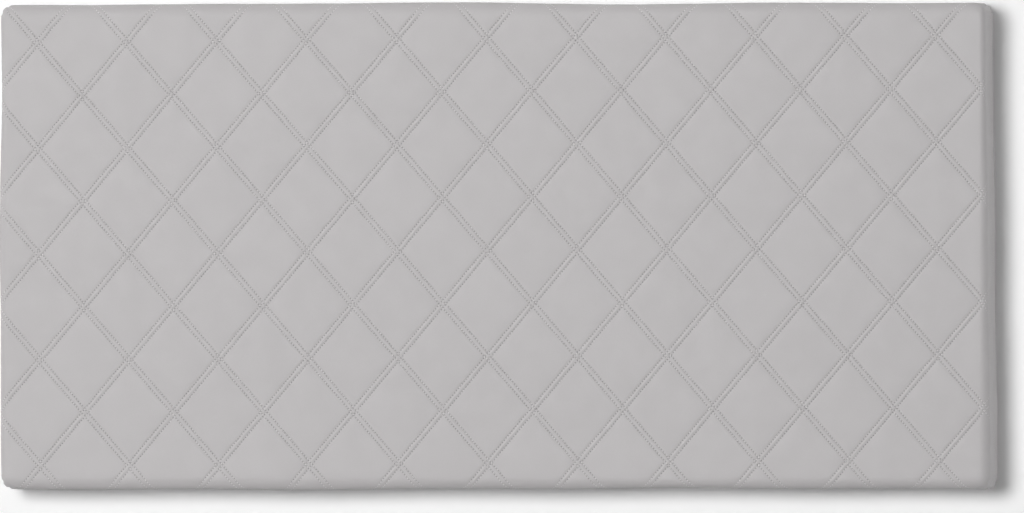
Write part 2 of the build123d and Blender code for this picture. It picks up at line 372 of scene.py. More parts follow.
def ruled_grid():
    """A flat grid whose lines follow both families of seams, denser beside them, cut to the sheet's outline."""
    quilt = settings("headboard_quilt")
    spacing = seam_spacing()
    families = seam_families()
    lines = [x * quilt.needle_gap / 2 for x in SEAM_LINES] + [spacing / 2]
    steps = len(lines) - 1
    middles = [round(float(-pattern_origin() @ across) / spacing) for along, across in families]
    half = HALF_WIDTH + sheet_reach(), HALF_HEIGHT + sheet_reach()
    cells = max(int((half[0] * abs(w[0]) + half[1] * abs(w[1])) / spacing) + 2 for v, w in families)

    bm = bmesh.new()
    bmesh.ops.create_grid(bm, x_segments=4 * steps * cells, y_segments=4 * steps * cells, size=cells)
    back_to_flat = np.linalg.inv(np.array([across for along, across in families]))
    for vert in bm.verts:
        off = []
        for value, middle in zip(vert.co.xy, middles):
            cell = round(value)
            part = abs(value - cell)
            graded = float(np.interp(part, np.linspace(0, 0.5, steps + 1), lines))
            off.append((cell + middle) * spacing + graded * (1 if value > cell else -1))
        x, z = pattern_origin() + back_to_flat @ np.array(off)
        vert.co = (x, z, 0)
    return bm


def cut(bm, geom, point, outward, clear=False):
    """Cuts part of a flat mesh along a line, and gives back the part with its new edges."""
    return bmesh.ops.bisect_plane(
        bm, geom=geom, plane_co=point, plane_no=outward, clear_outer=clear, dist=0.01 * MM
    )["geom"]


def beyond(bm, outside):
    """The part of a mesh whose points, or a neighbour's, pass a test."""
    faces = {f for v in bm.verts if outside(v.co) for f in v.link_faces}
    edges = {e for f in faces for e in f.edges}
    return [*{v for e in edges for v in e.verts}, *edges, *faces]


def trim_to_sheet(bm):
    """Cuts the flat grid to a rectangle with rounded corners, and adds lines where the sheet will bend."""
    cover = settings("headboard_cover")
    reach = sheet_reach()
    core = Vector((HALF_WIDTH - cover.corner, HALF_HEIGHT - cover.corner))
    for axis in (0, 1):
        start, roll, straight = roll_sizes(float(axis))[2:]
        turn = pi / 2 * cover.back_edge
        bends = [start + roll * k / 6 for k in range(7)]
        bends += [start + roll + straight * k / 4 for k in (1, 2, 3, 4)]
        bends += [bends[-1] + turn * k / 2 for k in (1, 2)]
        for sign in (-1, 1):
            out = Vector((sign * (1 - axis), sign * axis, 0))
            everything = bm.verts[:] + bm.edges[:] + bm.faces[:]
            cut(bm, everything, out * (core[axis] + reach), out, clear=True)
            part = beyond(bm, lambda co: co[axis] * sign > core[axis])
            for bend in bends:
                part = cut(bm, part, out * (core[axis] + bend), out)
    for side in (-1, 1):
        for end in (-1, 1):
            corner = Vector((side * core.x, end * core.y, 0))
            part = beyond(bm, lambda co: co.x * side > core.x and co.y * end > core.y)
            for angle in (10, 20, 30, 40, 50, 60, 70, 80):
                out = Vector((side * cos(radians(angle)), end * sin(radians(angle)), 0))
                part = [g for g in cut(bm, part, corner + out * reach, out, clear=True) if g.is_valid]


def close_with_liner(mesh):
    """Closes the sheet into a solid layer: its border turns back as the wadding that faces frame and foam."""
    cover = settings("headboard_cover")
    bm = bmesh.new()
    bm.from_mesh(mesh)
    inner = Vector((HALF_WIDTH, HALF_HEIGHT)) - Vector((HALF_WIDTH - LINER_HALF_WIDTH,) * 2)
    core = Vector((HALF_WIDTH - cover.corner, HALF_HEIGHT - cover.corner))
    rim = [e for e in bm.edges if e.is_boundary]
    for row in ("thickness", "side", "front"):
        grown = bmesh.ops.extrude_edge_only(bm, edges=rim)["geom"]
        verts = [g for g in grown if isinstance(g, bmesh.types.BMVert)]
        rim = [g for g in grown if isinstance(g, bmesh.types.BMEdge) and g.is_boundary]
        for vert in verts:
            if row == "thickness":
                vert.co.y = FRAME_BACK_Y
            elif row == "side":
                place_2d = Vector((vert.co.x, vert.co.z - MIDDLE_Z))
                for axis in (0, 1):
                    sign = 1 if place_2d[axis] > 0 else -1
                    if abs(place_2d[axis]) > core[axis] - cover.turned_in:
                        place_2d[axis] = sign * inner[axis]
                vert.co = (place_2d[0], FRAME_BACK_Y, place_2d[1] + MIDDLE_Z)
            else:
                vert.co.y = LINER_Y
    bmesh.ops.contextual_create(bm, geom=rim)
    bmesh.ops.recalc_face_normals(bm, faces=bm.faces[:])
    bm.to_mesh(mesh)
    bm.free()


# --- Materials ---


def put(tree, kind, values=None, **choices):
    """Adds a shader node. values are constants, or sockets to link from, by input."""
    node = tree.nodes.new(kind)
    for name, value in choices.items():
        setattr(node, name, value)
    for name, value in (values or {}).items():
        socket = node.inputs[name]
        if isinstance(value, bpy.types.NodeSocket):
            tree.links.new(value, socket)
        else:
            socket.default_value = value
    return node


def maths(tree, operation, *values):
    """A Math node's result."""
    return put(tree, "ShaderNodeMath", dict(enumerate(values)), operation=operation).outputs[0]


def vector_maths(tree, operation, first, second=None, scale=None):
    """A Vector Math node's result."""
    values = {0: first}
    if second is not None:
        values[1] = second
    if scale is not None:
        values["Scale"] = scale
    node = put(tree, "ShaderNodeVectorMath", values, operation=operation)
    return node.outputs["Value" if operation == "DOT_PRODUCT" else "Vector"]


def mapped(tree, value, low, high, to_low=0.0, to_high=1.0, ease="SMOOTHSTEP"):
    """A value carried from one range to another."""
    values = {"Value": value, "From Min": low, "From Max": high, "To Min": to_low, "To Max": to_high}
    return put(tree, "ShaderNodeMapRange", values, interpolation_type=ease).outputs["Result"]


def mixed(tree, share, first, second):
    """Two colours mixed."""
    node = tree.nodes.new("ShaderNodeMix")
    node.data_type = "RGBA"
    for socket, value in zip((node.inputs[0], node.inputs[6], node.inputs[7]), (share, first, second)):
        if isinstance(value, bpy.types.NodeSocket):
            tree.links.new(value, socket)
        else:
            socket.default_value = value
    return node.outputs[2]


def rgba(values, scale=1.0):
    """A colour setting as a node's colour, made darker or lighter."""
    return (*(min(1.0, v * scale) for v in values), 1.0)


def group(name, inputs, outputs):
    """A new node group with named sockets, and its input and output nodes."""
    tree = bpy.data.node_groups.new(name, "ShaderNodeTree")
    for label, kind, default in inputs:
        socket = tree.interface.new_socket(label, in_out="INPUT", socket_type=kind)
        if default is not None:
            socket.default_value = default
    for label, kind in outputs:
        tree.interface.new_socket(label, in_out="OUTPUT", socket_type=kind)
    return tree, tree.nodes.new("NodeGroupInput").outputs, tree.nodes.new("NodeGroupOutput")


FLOAT, VECTOR, COLOUR = "NodeSocketFloat", "NodeSocketVector", "NodeSocketColor"


def pebble_grain():
    """Embossed grain of coated cloth and moulded rubber: small rounded pebbles with fine creases."""
    tree, given, result = group(
        "pebble_grain",
        [("Vector", VECTOR, None), ("Pebbles per metre", FLOAT, 900.0)],
        [("Height", FLOAT), ("Shade", FLOAT)],
    )
    wobble = put(tree, "ShaderNodeTexNoise", {"Vector": given["Vector"], "Scale": 260.0, "Detail": 2.0})
    nudge = vector_maths(tree, "SCALE", wobble.outputs["Color"], scale=0.0006)
    bent = vector_maths(tree, "ADD", nudge, given["Vector"])
    cells = put(
        tree, "ShaderNodeTexVoronoi",
        {"Vector": bent, "Scale": given["Pebbles per metre"], "Smoothness": 0.6},
        feature="SMOOTH_F1",
    )
    fine = put(tree, "ShaderNodeTexNoise", {"Vector": bent, "Scale": 2600.0, "Detail": 3.0})
    dome = mapped(tree, cells.outputs["Distance"], 0.15, 0.75, 1.0, 0.0)
    height = maths(tree, "MULTIPLY_ADD", fine.outputs["Fac"], 0.25, dome)
    tree.links.new(height, result.inputs["Height"])
    # Shade is low in the creases between pebbles; the leatherette uses it to paint shade there.
    tree.links.new(mapped(tree, dome, 0.0, 0.5), result.inputs["Shade"])
    return tree


def needle_row():
    """Needle holes along both rows of one family of seams, on the flat sheet's coordinates."""
    tree, given, result = group(
        "needle_row",
        [("Vector", VECTOR, None), ("Origin", VECTOR, None), ("Along", VECTOR, None), ("Across", VECTOR, None),
         ("Spacing", FLOAT, 0.08), ("Gap", FLOAT, 0.006), ("Stitch", FLOAT, 0.0036)],
        [("Hole", FLOAT), ("Row", FLOAT)],
    )
    rel = vector_maths(tree, "SUBTRACT", given["Vector"], given["Origin"])
    u = vector_maths(tree, "DOT_PRODUCT", rel, given["Along"])
    v = vector_maths(tree, "DOT_PRODUCT", rel, given["Across"])
    off = maths(tree, "PINGPONG", v, maths(tree, "MULTIPLY", given["Spacing"], 0.5))
    row = maths(tree, "ABSOLUTE", maths(tree, "SUBTRACT", off, maths(tree, "MULTIPLY", given["Gap"], 0.5)))
    step = maths(tree, "PINGPONG", u, maths(tree, "MULTIPLY", given["Stitch"], 0.5))
    squares = [maths(tree, "POWER", side, 2.0) for side in (row, step)]
    away = maths(tree, "SQRT", maths(tree, "ADD", *squares))
    tree.links.new(mapped(tree, away, 0.00025, 0.00085, 1.0, 0.0), result.inputs["Hole"])
    tree.links.new(mapped(tree, row, 0.0003, 0.0013, 1.0, 0.0), result.inputs["Row"])
    return tree


def fibre_web():
    """Matted fibres, as in wadding and non-woven cloth."""
    tree, given, result = group(
        "fibre_web",
        [("Vector", VECTOR, None), ("Fineness", FLOAT, 1.0)],
        [("Height", FLOAT), ("Shade", FLOAT)],
    )
    heights = []
    for stretch in ((1.0, 0.12, 1.0), (0.12, 1.0, 0.12)):
        squeezed = vector_maths(tree, "MULTIPLY", given["Vector"], stretch)
        scaled = vector_maths(tree, "SCALE", squeezed, scale=given["Fineness"])
        strands = put(
            tree, "ShaderNodeTexNoise", {"Vector": scaled, "Scale": 2200.0, "Detail": 2.0, "Distortion": 1.6}
        )
        heights.append(strands.outputs["Fac"])
    web = maths(tree, "MAXIMUM", *heights)
    tree.links.new(web, result.inputs["Height"])
    tree.links.new(mapped(tree, web, 0.4, 0.75), result.inputs["Shade"])
    return tree


def sawn_grain():
    """Rings, pores and planed surface of softwood whose length runs along the vector's third axis."""
    tree, given, result = group(
        "sawn_grain",
        [("Vector", VECTOR, None), ("Light", COLOUR, None), ("Dark", COLOUR, None)],
        [("Color", COLOUR), ("Height", FLOAT), ("Roughness", FLOAT)],
    )
    warp = put(tree, "ShaderNodeTexNoise", {"Vector": given["Vector"], "Scale": 6.0, "Detail": 2.0})
    swirl = vector_maths(tree, "SCALE", warp.outputs["Color"], scale=0.02)
    stretched = vector_maths(tree, "MULTIPLY", given["Vector"], (1.0, 1.0, 0.06))
    bent = vector_maths(tree, "ADD", stretched, swirl)
    rings = put(
        tree, "ShaderNodeTexWave",
        {"Vector": bent, "Scale": 38.0, "Distortion": 3.0, "Detail": 3.0, "Detail Scale": 1.2},
        wave_type="RINGS", rings_direction="Z", wave_profile="SAW",
    )
    pores = put(tree, "ShaderNodeTexNoise", {"Vector": bent, "Scale": 900.0, "Detail": 2.0})
    dark = mapped(tree, rings.outputs["Fac"], 0.45, 1.0, 0.0, 0.85)
    speck = mapped(tree, pores.outputs["Fac"], 0.42, 0.7, 0.0, 0.25)
    tone = maths(tree, "ADD", dark, speck)
    tree.links.new(mixed(tree, tone, given["Light"], given["Dark"]), result.inputs["Color"])
    tree.links.new(maths(tree, "SUBTRACT", 1.0, tone), result.inputs["Height"])
    tree.links.new(mapped(tree, tone, 0.0, 1.0, 0.55, 0.7, "LINEAR"), result.inputs["Roughness"])
    return tree


def drawn_lines():
    """Fine lines that rolling, drawing or an extrusion die leaves in metal, along the vector's first axis."""
    tree, given, result = group(
        "drawn_lines", [("Vector", VECTOR, None)], [("Height", FLOAT), ("Roughness", FLOAT)]
    )
    stretched = vector_maths(tree, "MULTIPLY", given["Vector"], (0.01, 1.0, 1.0))
    lines = put(tree, "ShaderNodeTexNoise", {"Vector": stretched, "Scale": 2500.0, "Detail": 3.0})
    cloud = put(tree, "ShaderNodeTexNoise", {"Vector": given["Vector"], "Scale": 30.0, "Detail": 2.0})
    both = maths(tree, "MULTIPLY_ADD", cloud.outputs["Fac"], 0.5, lines.outputs["Fac"])
    tree.links.new(lines.outputs["Fac"], result.inputs["Height"])
    tree.links.new(mapped(tree, both, 0.5, 1.0, 0.28, 0.48), result.inputs["Roughness"])
    return tree


GROUPS = {}


def shared(maker):
    """A shared node group, built the first time that it is asked for."""
    if maker.__name__ not in GROUPS:
        GROUPS[maker.__name__] = maker()
    return GROUPS[maker.__name__]


def effect(tree, maker, values):
    """A shared node group placed in a material with its own values."""
    node = put(tree, "ShaderNodeGroup", node_tree=shared(maker))
    for name, value in values.items():
        if isinstance(value, bpy.types.NodeSocket):
            tree.links.new(value, node.inputs[name])
        else:
            node.inputs[name].default_value = value
    return node.outputs


def new_material(name):
    """A material's tree, its shader and its object coordinates."""
    material = bpy.data.materials.new(name)
    material.use_nodes = True
    tree = material.node_tree
    shader = tree.nodes["Principled BSDF"]
    here = put(tree, "ShaderNodeTexCoord").outputs["Object"]
    return material, tree, shader, here


def feed(tree, shader, **links):
    """Links sockets into a shader's inputs; a name's underscores stand for spaces."""
    for name, socket in links.items():
        tree.links.new(socket, shader.inputs[name.replace("_", " ")])


def raised(tree, height, distance, below=None, strength=1.0):
    """A bump of a height, on top of another normal."""
    values = {"Height": height, "Distance": distance, "Strength": strength}
    if below is not None:
        values["Normal"] = below
    return put(tree, "ShaderNodeBump", values).outputs["Normal"]


def cloud(tree, where, scale, low, high, detail=2.0):
    """Soft patches between two values."""
    noise = put(tree, "ShaderNodeTexNoise", {"Vector": where, "Scale": scale, "Detail": detail})
    return mapped(tree, noise.outputs["Fac"], 0.35, 0.65, low, high)


def leatherette():
    """Grey coated cloth: fine embossed grain, needle holes along the seams, a soft even sheen."""
    quilt = settings("headboard_quilt")
    colours = settings("headboard_colours")
    material, tree, shader, _ = new_material("leatherette")
    on_sheet = put(tree, "ShaderNodeUVMap", uv_map="sheet").outputs["UV"]
    origin = (*pattern_origin(), 0)
    rows = []
    for along, across in seam_families():
        rows.append(effect(tree, needle_row, {
            "Vector": on_sheet, "Origin": origin, "Along": (*along, 0), "Across": (*across, 0),
            "Spacing": seam_spacing(), "Gap": quilt.needle_gap, "Stitch": quilt.stitch,
        }))
    taut = put(tree, "ShaderNodeAttribute", attribute_name="taut").outputs["Fac"]
    slack = mapped(tree, taut, 0.0, 1.0, 1.0, 0.12, "LINEAR")
    holes = maths(tree, "MULTIPLY", maths(tree, "MAXIMUM", rows[0]["Hole"], rows[1]["Hole"]), slack)
    lines = maths(tree, "MULTIPLY", maths(tree, "MAXIMUM", rows[0]["Row"], rows[1]["Row"]), slack)
    grain = effect(tree, pebble_grain, {"Vector": on_sheet, "Pebbles per metre": 1100.0})
    patches = cloud(tree, on_sheet, 9.0, 0.0, 1.0)
    base = mixed(tree, patches, rgba(colours.leatherette, 0.992), rgba(colours.leatherette, 1.006))
    # Painted shade: the grain's creases between pebbles are painted darker.
    crease_shade = mapped(tree, grain["Shade"], 0.0, 1.0, 0.10, 0.0)
    crease_shaded = mixed(tree, crease_shade, base, rgba(colours.leatherette, 0.80))
    # Painted shade: the rows of stitches are painted a little darker, for the shade in their grooves.
    row_shaded = mixed(tree, maths(tree, "MULTIPLY", lines, 0.02), crease_shaded, rgba(colours.leatherette, 0.6))
    # Painted shade: the needle holes are painted dark, for the shade inside them.
    hole_shaded = mixed(tree, maths(tree, "MULTIPLY", holes, 0.66), row_shaded, rgba(colours.leatherette, 0.15))
    dull = mapped(tree, grain["Shade"], 0, 1, 0.08, 0)
    rough = maths(tree, "ADD", cloud(tree, on_sheet, 40.0, 0.50, 0.56), dull)
    normal = raised(tree, grain["Height"], 0.05 * MM, strength=0.6)
    normal = raised(tree, maths(tree, "SUBTRACT", 1.0, holes), 0.15 * MM, normal)
    feed(tree, shader, Base_Color=hole_shaded, Roughness=rough, Normal=normal)
    shader.inputs["Specular IOR Level"].default_value = 0.35
    return material


def seam_thread():
    """Twisted polyester thread."""
    colours = settings("headboard_colours")
    material, tree, shader, here = new_material("seam_thread")
    values = {"Vector": here, "Scale": 900.0, "Distortion": 2.0}
    twist = put(tree, "ShaderNodeTexWave", values, bands_direction="DIAGONAL")
    # Painted shade and highlight: the twist's grooves are painted darker and its ridges lighter.
    shade = mixed(tree, twist.outputs["Fac"], rgba(colours.thread, 0.86), rgba(colours.thread, 1.04))
    feed(tree, shader, Base_Color=shade, Normal=raised(tree, twist.outputs["Fac"], 0.05 * MM))
    feed(tree, shader, Roughness=mapped(tree, twist.outputs["Fac"], 0, 1, 0.62, 0.5, "LINEAR"))
    shader.inputs["Sheen Weight"].default_value = 0.2
    return material


def liner_wadding():
    """White polyester wadding, its fibres matted into a soft sheet."""
    colours = settings("headboard_colours")
    material, tree, shader, here = new_material("polyester_wadding")
    web = effect(tree, fibre_web, {"Vector": here, "Fineness": 0.35})
    tufts = cloud(tree, here, 60.0, 0.0, 1.0, 4.0)
    # Painted shade: the fibres are painted darker where they lie low in the web.
    matted = maths(tree, "MULTIPLY", web["Shade"], 0.5)
    shade = mixed(tree, matted, rgba(colours.wadding, 0.82), rgba(colours.wadding))
    feed(tree, shader, Base_Color=shade, Roughness=mapped(tree, web["Height"], 0.3, 0.8, 0.95, 0.8))
    feed(tree, shader, Normal=raised(tree, tufts, 0.6 * MM, raised(tree, web["Height"], 0.3 * MM)))
    shader.inputs["Sheen Weight"].default_value = 0.4
    return material


def cut_foam():
    """Cream upholstery foam with open cells on its cut faces."""
    colours = settings("headboard_colours")
    material, tree, shader, here = new_material("cut_foam")
    values = {"Vector": here, "Scale": 850.0, "Smoothness": 0.4}
    cells = put(tree, "ShaderNodeTexVoronoi", values, feature="SMOOTH_F1")
    pores = mapped(tree, cells.outputs["Distance"], 0.1, 0.6, 0.0, 1.0)
    aged = cloud(tree, here, 12.0, 0.94, 1.0)
    tint = mixed(tree, aged, rgba(colours.foam, 0.86), rgba(colours.foam))
    # Painted shade: the open cells are painted darker towards their middles, for the shade inside them.
    shade = mixed(tree, pores, rgba(colours.foam, 0.55), tint)
    feed(tree, shader, Base_Color=shade, Roughness=mapped(tree, pores, 0, 1, 0.98, 0.85, "LINEAR"))
    feed(tree, shader, Normal=raised(tree, pores, 0.35 * MM))
    return material


def dust_cloth():
    """Black spun-bonded cloth: matted fibres pressed in a grid of tiny points."""
    colours = settings("headboard_colours")
    material, tree, shader, here = new_material("dust_cloth")
    web = effect(tree, fibre_web, {"Vector": here, "Fineness": 1.0})
    points = put(
        tree, "ShaderNodeTexVoronoi", {"Vector": here, "Scale": 620.0, "Randomness": 0.08}, feature="F1"
    )
    dots = mapped(tree, points.outputs["Distance"], 0.18, 0.34, 0.0, 1.0)
    # Painted light and shade: raised fibres are painted lighter, and low fibres and pressed points darker.
    raised_fibre_light = maths(tree, "MULTIPLY", web["Shade"], dots)
    shade = mixed(tree, raised_fibre_light, rgba(colours.dust_cloth, 0.7), rgba(colours.dust_cloth, 2.0))
    feed(tree, shader, Base_Color=shade, Roughness=mapped(tree, raised_fibre_light, 0, 1, 0.62, 0.86, "LINEAR"))
    feed(tree, shader, Normal=raised(tree, maths(tree, "MULTIPLY", web["Height"], dots), 0.18 * MM))
    shader.inputs["Sheen Weight"].default_value = 0.25
    return material


def pine(axis, turned):
    """Planed pine whose grain runs along an axis of the frame."""
    colours = settings("headboard_colours")
    material, tree, shader, here = new_material(f"planed_pine_{axis}")
    turn = {"x": (0.02, pi / 2, 0), "z": (0.03, 0.02, 0)}[axis]
    lengthwise = put(
        tree, "ShaderNodeMapping", {"Vector": here, "Rotation": turn, "Location": (0.31 + turned, 0.06, 0)}
    ).outputs[0]
    values = {"Vector": lengthwise, "Light": rgba(colours.pine), "Dark": rgba(colours.pine_dark)}
    grain = effect(tree, sawn_grain, values)
    knots = put(tree, "ShaderNodeTexVoronoi", {"Vector": here, "Scale": 4.0}, feature="F1")
    knot = mapped(tree, knots.outputs["Distance"], 0.02, 0.05, 1.0, 0.0)
    shade = mixed(tree, knot, grain["Color"], rgba(colours.pine_dark, 0.6))
    feed(tree, shader, Base_Color=shade, Roughness=grain["Roughness"])
    feed(tree, shader, Normal=raised(tree, grain["Height"], 0.12 * MM))
    return material


def birch_plywood():
    """Thin plywood: pale face veneer, and darker plies in bands on its edges."""
    colours = settings("headboard_colours")
    material, tree, shader, here = new_material("birch_plywood")
    values = {"Vector": here, "Light": rgba(colours.plywood), "Dark": rgba(colours.plywood, 0.72)}
    grain = effect(tree, sawn_grain, values)
    depth = put(tree, "ShaderNodeSeparateXYZ", {"Vector": here}).outputs["Y"]
    plies = mapped(tree, maths(tree, "PINGPONG", depth, 1.25 * MM), 0.5 * MM, 0.75 * MM, 0.0, 0.35)
    shade = mixed(tree, plies, grain["Color"], rgba(colours.plywood, 0.45))
    feed(tree, shader, Base_Color=shade, Roughness=grain["Roughness"])
    feed(tree, shader, Normal=raised(tree, grain["Height"], 0.06 * MM))
    return material


def metal(name, base, roughest, dull=0.0):
    """Drawn or plated metal with die lines and slight clouding."""
    material, tree, shader, here = new_material(name)
    lines = effect(tree, drawn_lines, {"Vector": here})
    patches = cloud(tree, here, 45.0, 0.0, 1.0, 4.0)
    shade = mixed(tree, patches, rgba(base, 0.90 - dull), rgba(base))
    rough = maths(tree, "ADD", lines["Roughness"], roughest)
    feed(tree, shader, Base_Color=shade, Roughness=rough, Normal=raised(tree, lines["Height"], 0.012 * MM))
    shader.inputs["Metallic"].default_value = 1.0
    return material


def bumper_rubber():
    """Black moulded rubber with a fine matt skin and a little dust."""
    colours = settings("headboard_colours")
    material, tree, shader, here = new_material("bumper_rubber")
    grain = effect(tree, pebble_grain, {"Vector": here, "Pebbles per metre": 2600.0})
    dust = cloud(tree, here, 90.0, 0.0, 0.35, 5.0)
    shade = mixed(tree, dust, rgba(colours.rubber), rgba(colours.rubber, 2.6))
    feed(tree, shader, Base_Color=shade, Roughness=mapped(tree, dust, 0.0, 0.35, 0.55, 0.8, "LINEAR"))
    feed(tree, shader, Normal=raised(tree, grain["Height"], 0.04 * MM))
    return material


def finish_node(node, material):
    """Gives a CAD node its material."""
    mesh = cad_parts[node].data
    mesh.materials.clear()
    mesh.materials.append(material)


# --- Operators: one for each piece or group of like pieces ---


class HEADBOARD_OT_cover(bpy.types.Operator):
    """Make the quilted cover: a sheet ruled with seams, wrapped round the panel and closed by its wadding"""

    bl_idname = "headboard.cover"
    bl_label = "Quilted cover"

    def execute(self, context):
        bm = ruled_grid()
        trim_to_sheet(bm)
        made = piece("quilted_sheet", bm, leatherette(), "panel")
        mesh = made.data
        flat = coordinates(mesh)[:, :2]
        corners = np.empty(len(mesh.loops), np.int32)
        mesh.loops.foreach_get("vertex_index", corners)
        mesh.uv_layers.new(name="sheet").data.foreach_set("uv", flat[corners].astype(np.float32).ravel())
        mesh.attributes.new("taut", "FLOAT", "POINT").data.foreach_set("value", tautness(flat))
        place(mesh, wrapped(flat))
        close_with_liner(mesh)
        mesh.polygons.foreach_set("use_smooth", [True] * len(mesh.polygons))
        mesh.update()
        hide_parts("quilted_cover")
        return {"FINISHED"}


class HEADBOARD_OT_stitching(bpy.types.Operator):
    """Lay the twin rows of stitches along both families of seams"""

    bl_idname = "headboard.stitching"
    bl_label = "Stitching"

    def execute(self, context):
        thread = seam_thread()
        for family, name in enumerate(("rising_seams", "falling_seams")):
            self.rows(family, name, thread)
        return {"FINISHED"}

    def rows(self, family, name, thread):
        """All the stitches of one family, set out in straight rows on the flat sheet and then wrapped."""
        quilt = settings("headboard_quilt")
        cover = settings("headboard_cover")
        spacing = seam_spacing()
        along, across = seam_families()[family]
        origin = pattern_origin()
        reach = (HALF_WIDTH + SIDE_DEPTH, HALF_HEIGHT + SIDE_DEPTH)
        middle_u, middle_v = float(-origin @ along), float(-origin @ across)
        half_u = reach[0] * abs(along[0]) + reach[1] * abs(along[1])
        half_v = reach[0] * abs(across[0]) + reach[1] * abs(across[1])
        first = round((middle_u - half_u) / quilt.stitch)
        count = round(2 * half_u / quilt.stitch)
        lowest = round((middle_v - half_v) / spacing)
        seams = round(2 * half_v / spacing)

        bm = bmesh.new()
        size = Matrix.Diagonal((0.43 * quilt.stitch, quilt.thread / 2, quilt.thread * 0.42, 1))
        start = ((first + 0.5) * quilt.stitch, lowest * spacing - quilt.needle_gap / 2, 0)
        bmesh.ops.create_icosphere(bm, subdivisions=1, radius=1, matrix=Matrix.Translation(start) @ size)
        for steps, step in (
            (count, (quilt.stitch, 0, 0)), (1, (0, quilt.needle_gap, 0)), (seams, (0, spacing, 0))
        ):
            bmesh.ops.spin(
                bm, geom=bm.verts[:] + bm.edges[:] + bm.faces[:], cent=(0, 0, 0), axis=(0, 0, 1),
                dvec=step, angle=0, steps=steps, use_duplicate=True,
            )
        limit = np.array((HALF_WIDTH - cover.corner, HALF_HEIGHT - cover.corner))
        side = cover.corner + SIDE_DEPTH - 8 * MM
        outside = []
        for vert in bm.verts:
            u = (round(vert.co.x / quilt.stitch - 0.5) + 0.5) * quilt.stitch
            at = origin + u * along + vert.co.y * across
            over = np.maximum(np.abs(at) - limit, 0)
            if over.max() > side or (over.min() > 0 and hypot(*over) > 1.1 * cover.corner):
                outside.append(vert)
        partly = {v for vert in outside for f in vert.link_faces for v in f.verts}
        while True:
            more = {v for vert in partly for e in vert.link_edges for v in e.verts} - partly
            if not more:
                break
            partly |= more
        bmesh.ops.delete(bm, geom=list(partly | set(outside)), context="VERTS")
        made = piece(name, bm, thread, "panel")

        points = coordinates(made.data)
        number = np.round(points[:, 0] / quilt.stitch - 0.5)
        seam = np.round(points[:, 1] / spacing)
        row = np.where(points[:, 1] > seam * spacing, 1.0, -1.0)
        rng = np.random.default_rng(11 + family)
        loose = rng.normal(0, 1, (4096, 3))
        which = ((number * 7 + seam * 131 + row * 17).astype(int)) % len(loose)
        u_middle = (number + 0.5) * quilt.stitch
        v_middle = seam * spacing + row * quilt.needle_gap / 2
        du, dv = points[:, 0] - u_middle, points[:, 1] - v_middle
        du = du * (1 + 0.05 * loose[which, 0])
        dv = dv + du * 0.05 * loose[which, 1] + 0.06 * MM * loose[which, 2]
        arch = 0.30 * quilt.thread * (1 - (du / (0.5 * quilt.stitch)) ** 2)
        flat = origin + np.outer(u_middle + du, along) + np.outer(v_middle + dv, across)
        sunk = origin + np.outer(u_middle + du, along) + np.outer(v_middle, across)
        sink = 0.5 * quilt.thread * tautness(flat)
        place(made.data, wrapped(flat, lift=points[:, 2] + arch - sink, quilted=sunk))
        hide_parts("quilted_cover")


class HEADBOARD_OT_dust_cover(bpy.types.Operator):
    """Stretch the black dust cloth over the back, a little slack between the stiles"""

    bl_idname = "headboard.dust_cover"
    bl_label = "Dust cover"

    def execute(self, context):
        low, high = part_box("dust_cover")
        width, height = high.x - low.x, high.z - low.z
        thickness = high.y - low.y
        bm = bmesh.new()
        cell = 5 * MM
        bmesh.ops.create_grid(bm, x_segments=round(width / cell), y_segments=round(height / cell), size=0.5)
        turn = Matrix.Rotation(pi / 2, 4, "X") @ Matrix.Diagonal((width, height, 1, 1))
        bmesh.ops.transform(bm, matrix=turn, verts=bm.verts[:])
        middle = Vector((0, (low.y + high.y) / 2, (low.z + high.z) / 2))
        bmesh.ops.translate(bm, vec=middle, verts=bm.verts[:])
        bmesh.ops.recalc_face_normals(bm, faces=bm.faces[:])
        if bm.faces[:][0].normal.y < 0:
            bmesh.ops.reverse_faces(bm, faces=bm.faces[:])
        made = piece("dust_sheet", bm, dust_cloth(), "panel")
        points = coordinates(made.data)
        points[:, 1] = middle.y - self.sink(points, low, high)
        place(made.data, points)
        cloth = made.modifiers.new("thickness", "SOLIDIFY")
        cloth.thickness = thickness
        cloth.offset = 0
        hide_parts("dust_cover")
        return {"FINISHED"}

    def sink(self, points, low, high):
        """How far the cloth lies below its border: a step off the turned-in sheet, and slack between the stiles."""
        border, drop, slack_depth, pucker_depth, pitch = 38 * MM, 1.2 * MM, 2.2 * MM, 0.22 * MM, 90 * MM
        inside = np.minimum.reduce((
            points[:, 0] - low.x, high.x - points[:, 0], points[:, 2] - low.z, high.z - points[:, 2]
        ))
        step = drop * smooth((inside - border) / (10 * MM))
        rails = [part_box("bottom_rail")[1].z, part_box("top_rail")[0].z]
        stiles = [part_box("left_stile")[1].x]
        for name in STILES:
            stiles += [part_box(name)[0].x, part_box(name)[1].x]
        stiles.append(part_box("right_stile")[0].x)
        up = np.clip((points[:, 2] - rails[0]) / (rails[1] - rails[0]), 0, 1)
        slack = np.zeros(len(points))
        for left, right in zip(stiles[::2], stiles[1::2]):
            across = np.clip((points[:, 0] - left) / (right - left), 0, 1)
            slack += np.sin(pi * across) ** 0.6 * np.sin(pi * up) ** 0.6
        across, up = points[:, 0], points[:, 2]
        ripple = 1 + 0.35 * np.sin(across * 31 + 9 * np.sin(up * 7)) * np.sin(up * 17 + 1)
        pucker = pucker_depth * np.cos(2 * pi * (across + up) / pitch) * np.exp(-inside / (18 * MM))
        return step + slack_depth * slack * ripple + np.abs(pucker) * smooth(inside / (6 * MM))


